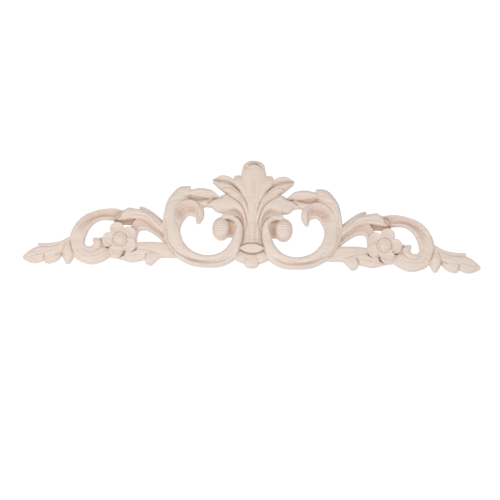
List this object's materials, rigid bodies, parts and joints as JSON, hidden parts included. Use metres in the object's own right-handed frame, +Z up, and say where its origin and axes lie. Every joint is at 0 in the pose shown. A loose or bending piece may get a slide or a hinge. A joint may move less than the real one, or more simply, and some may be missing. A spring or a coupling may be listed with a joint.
{
  "type": "wood applique",
  "caption": "Long openwork crest carved from one board, with C-scrolls, acanthus leaves and flowers either side of a palmette, glued flat to furniture or a wall.",
  "frame": {"origin": "on the flat back, at the middle of the length and about the middle of the height", "axes": "+X along the length, +Z up, +Y out of the flat back, so the carved front faces -Y"},
  "size_m": [0.3988, 0.0141, 0.0952],
  "materials": {
    "bare_wood": "raw"
  },
  "bodies": {
    "root": {"carved_applique": "bare_wood"}
  },
  "joints": []
}
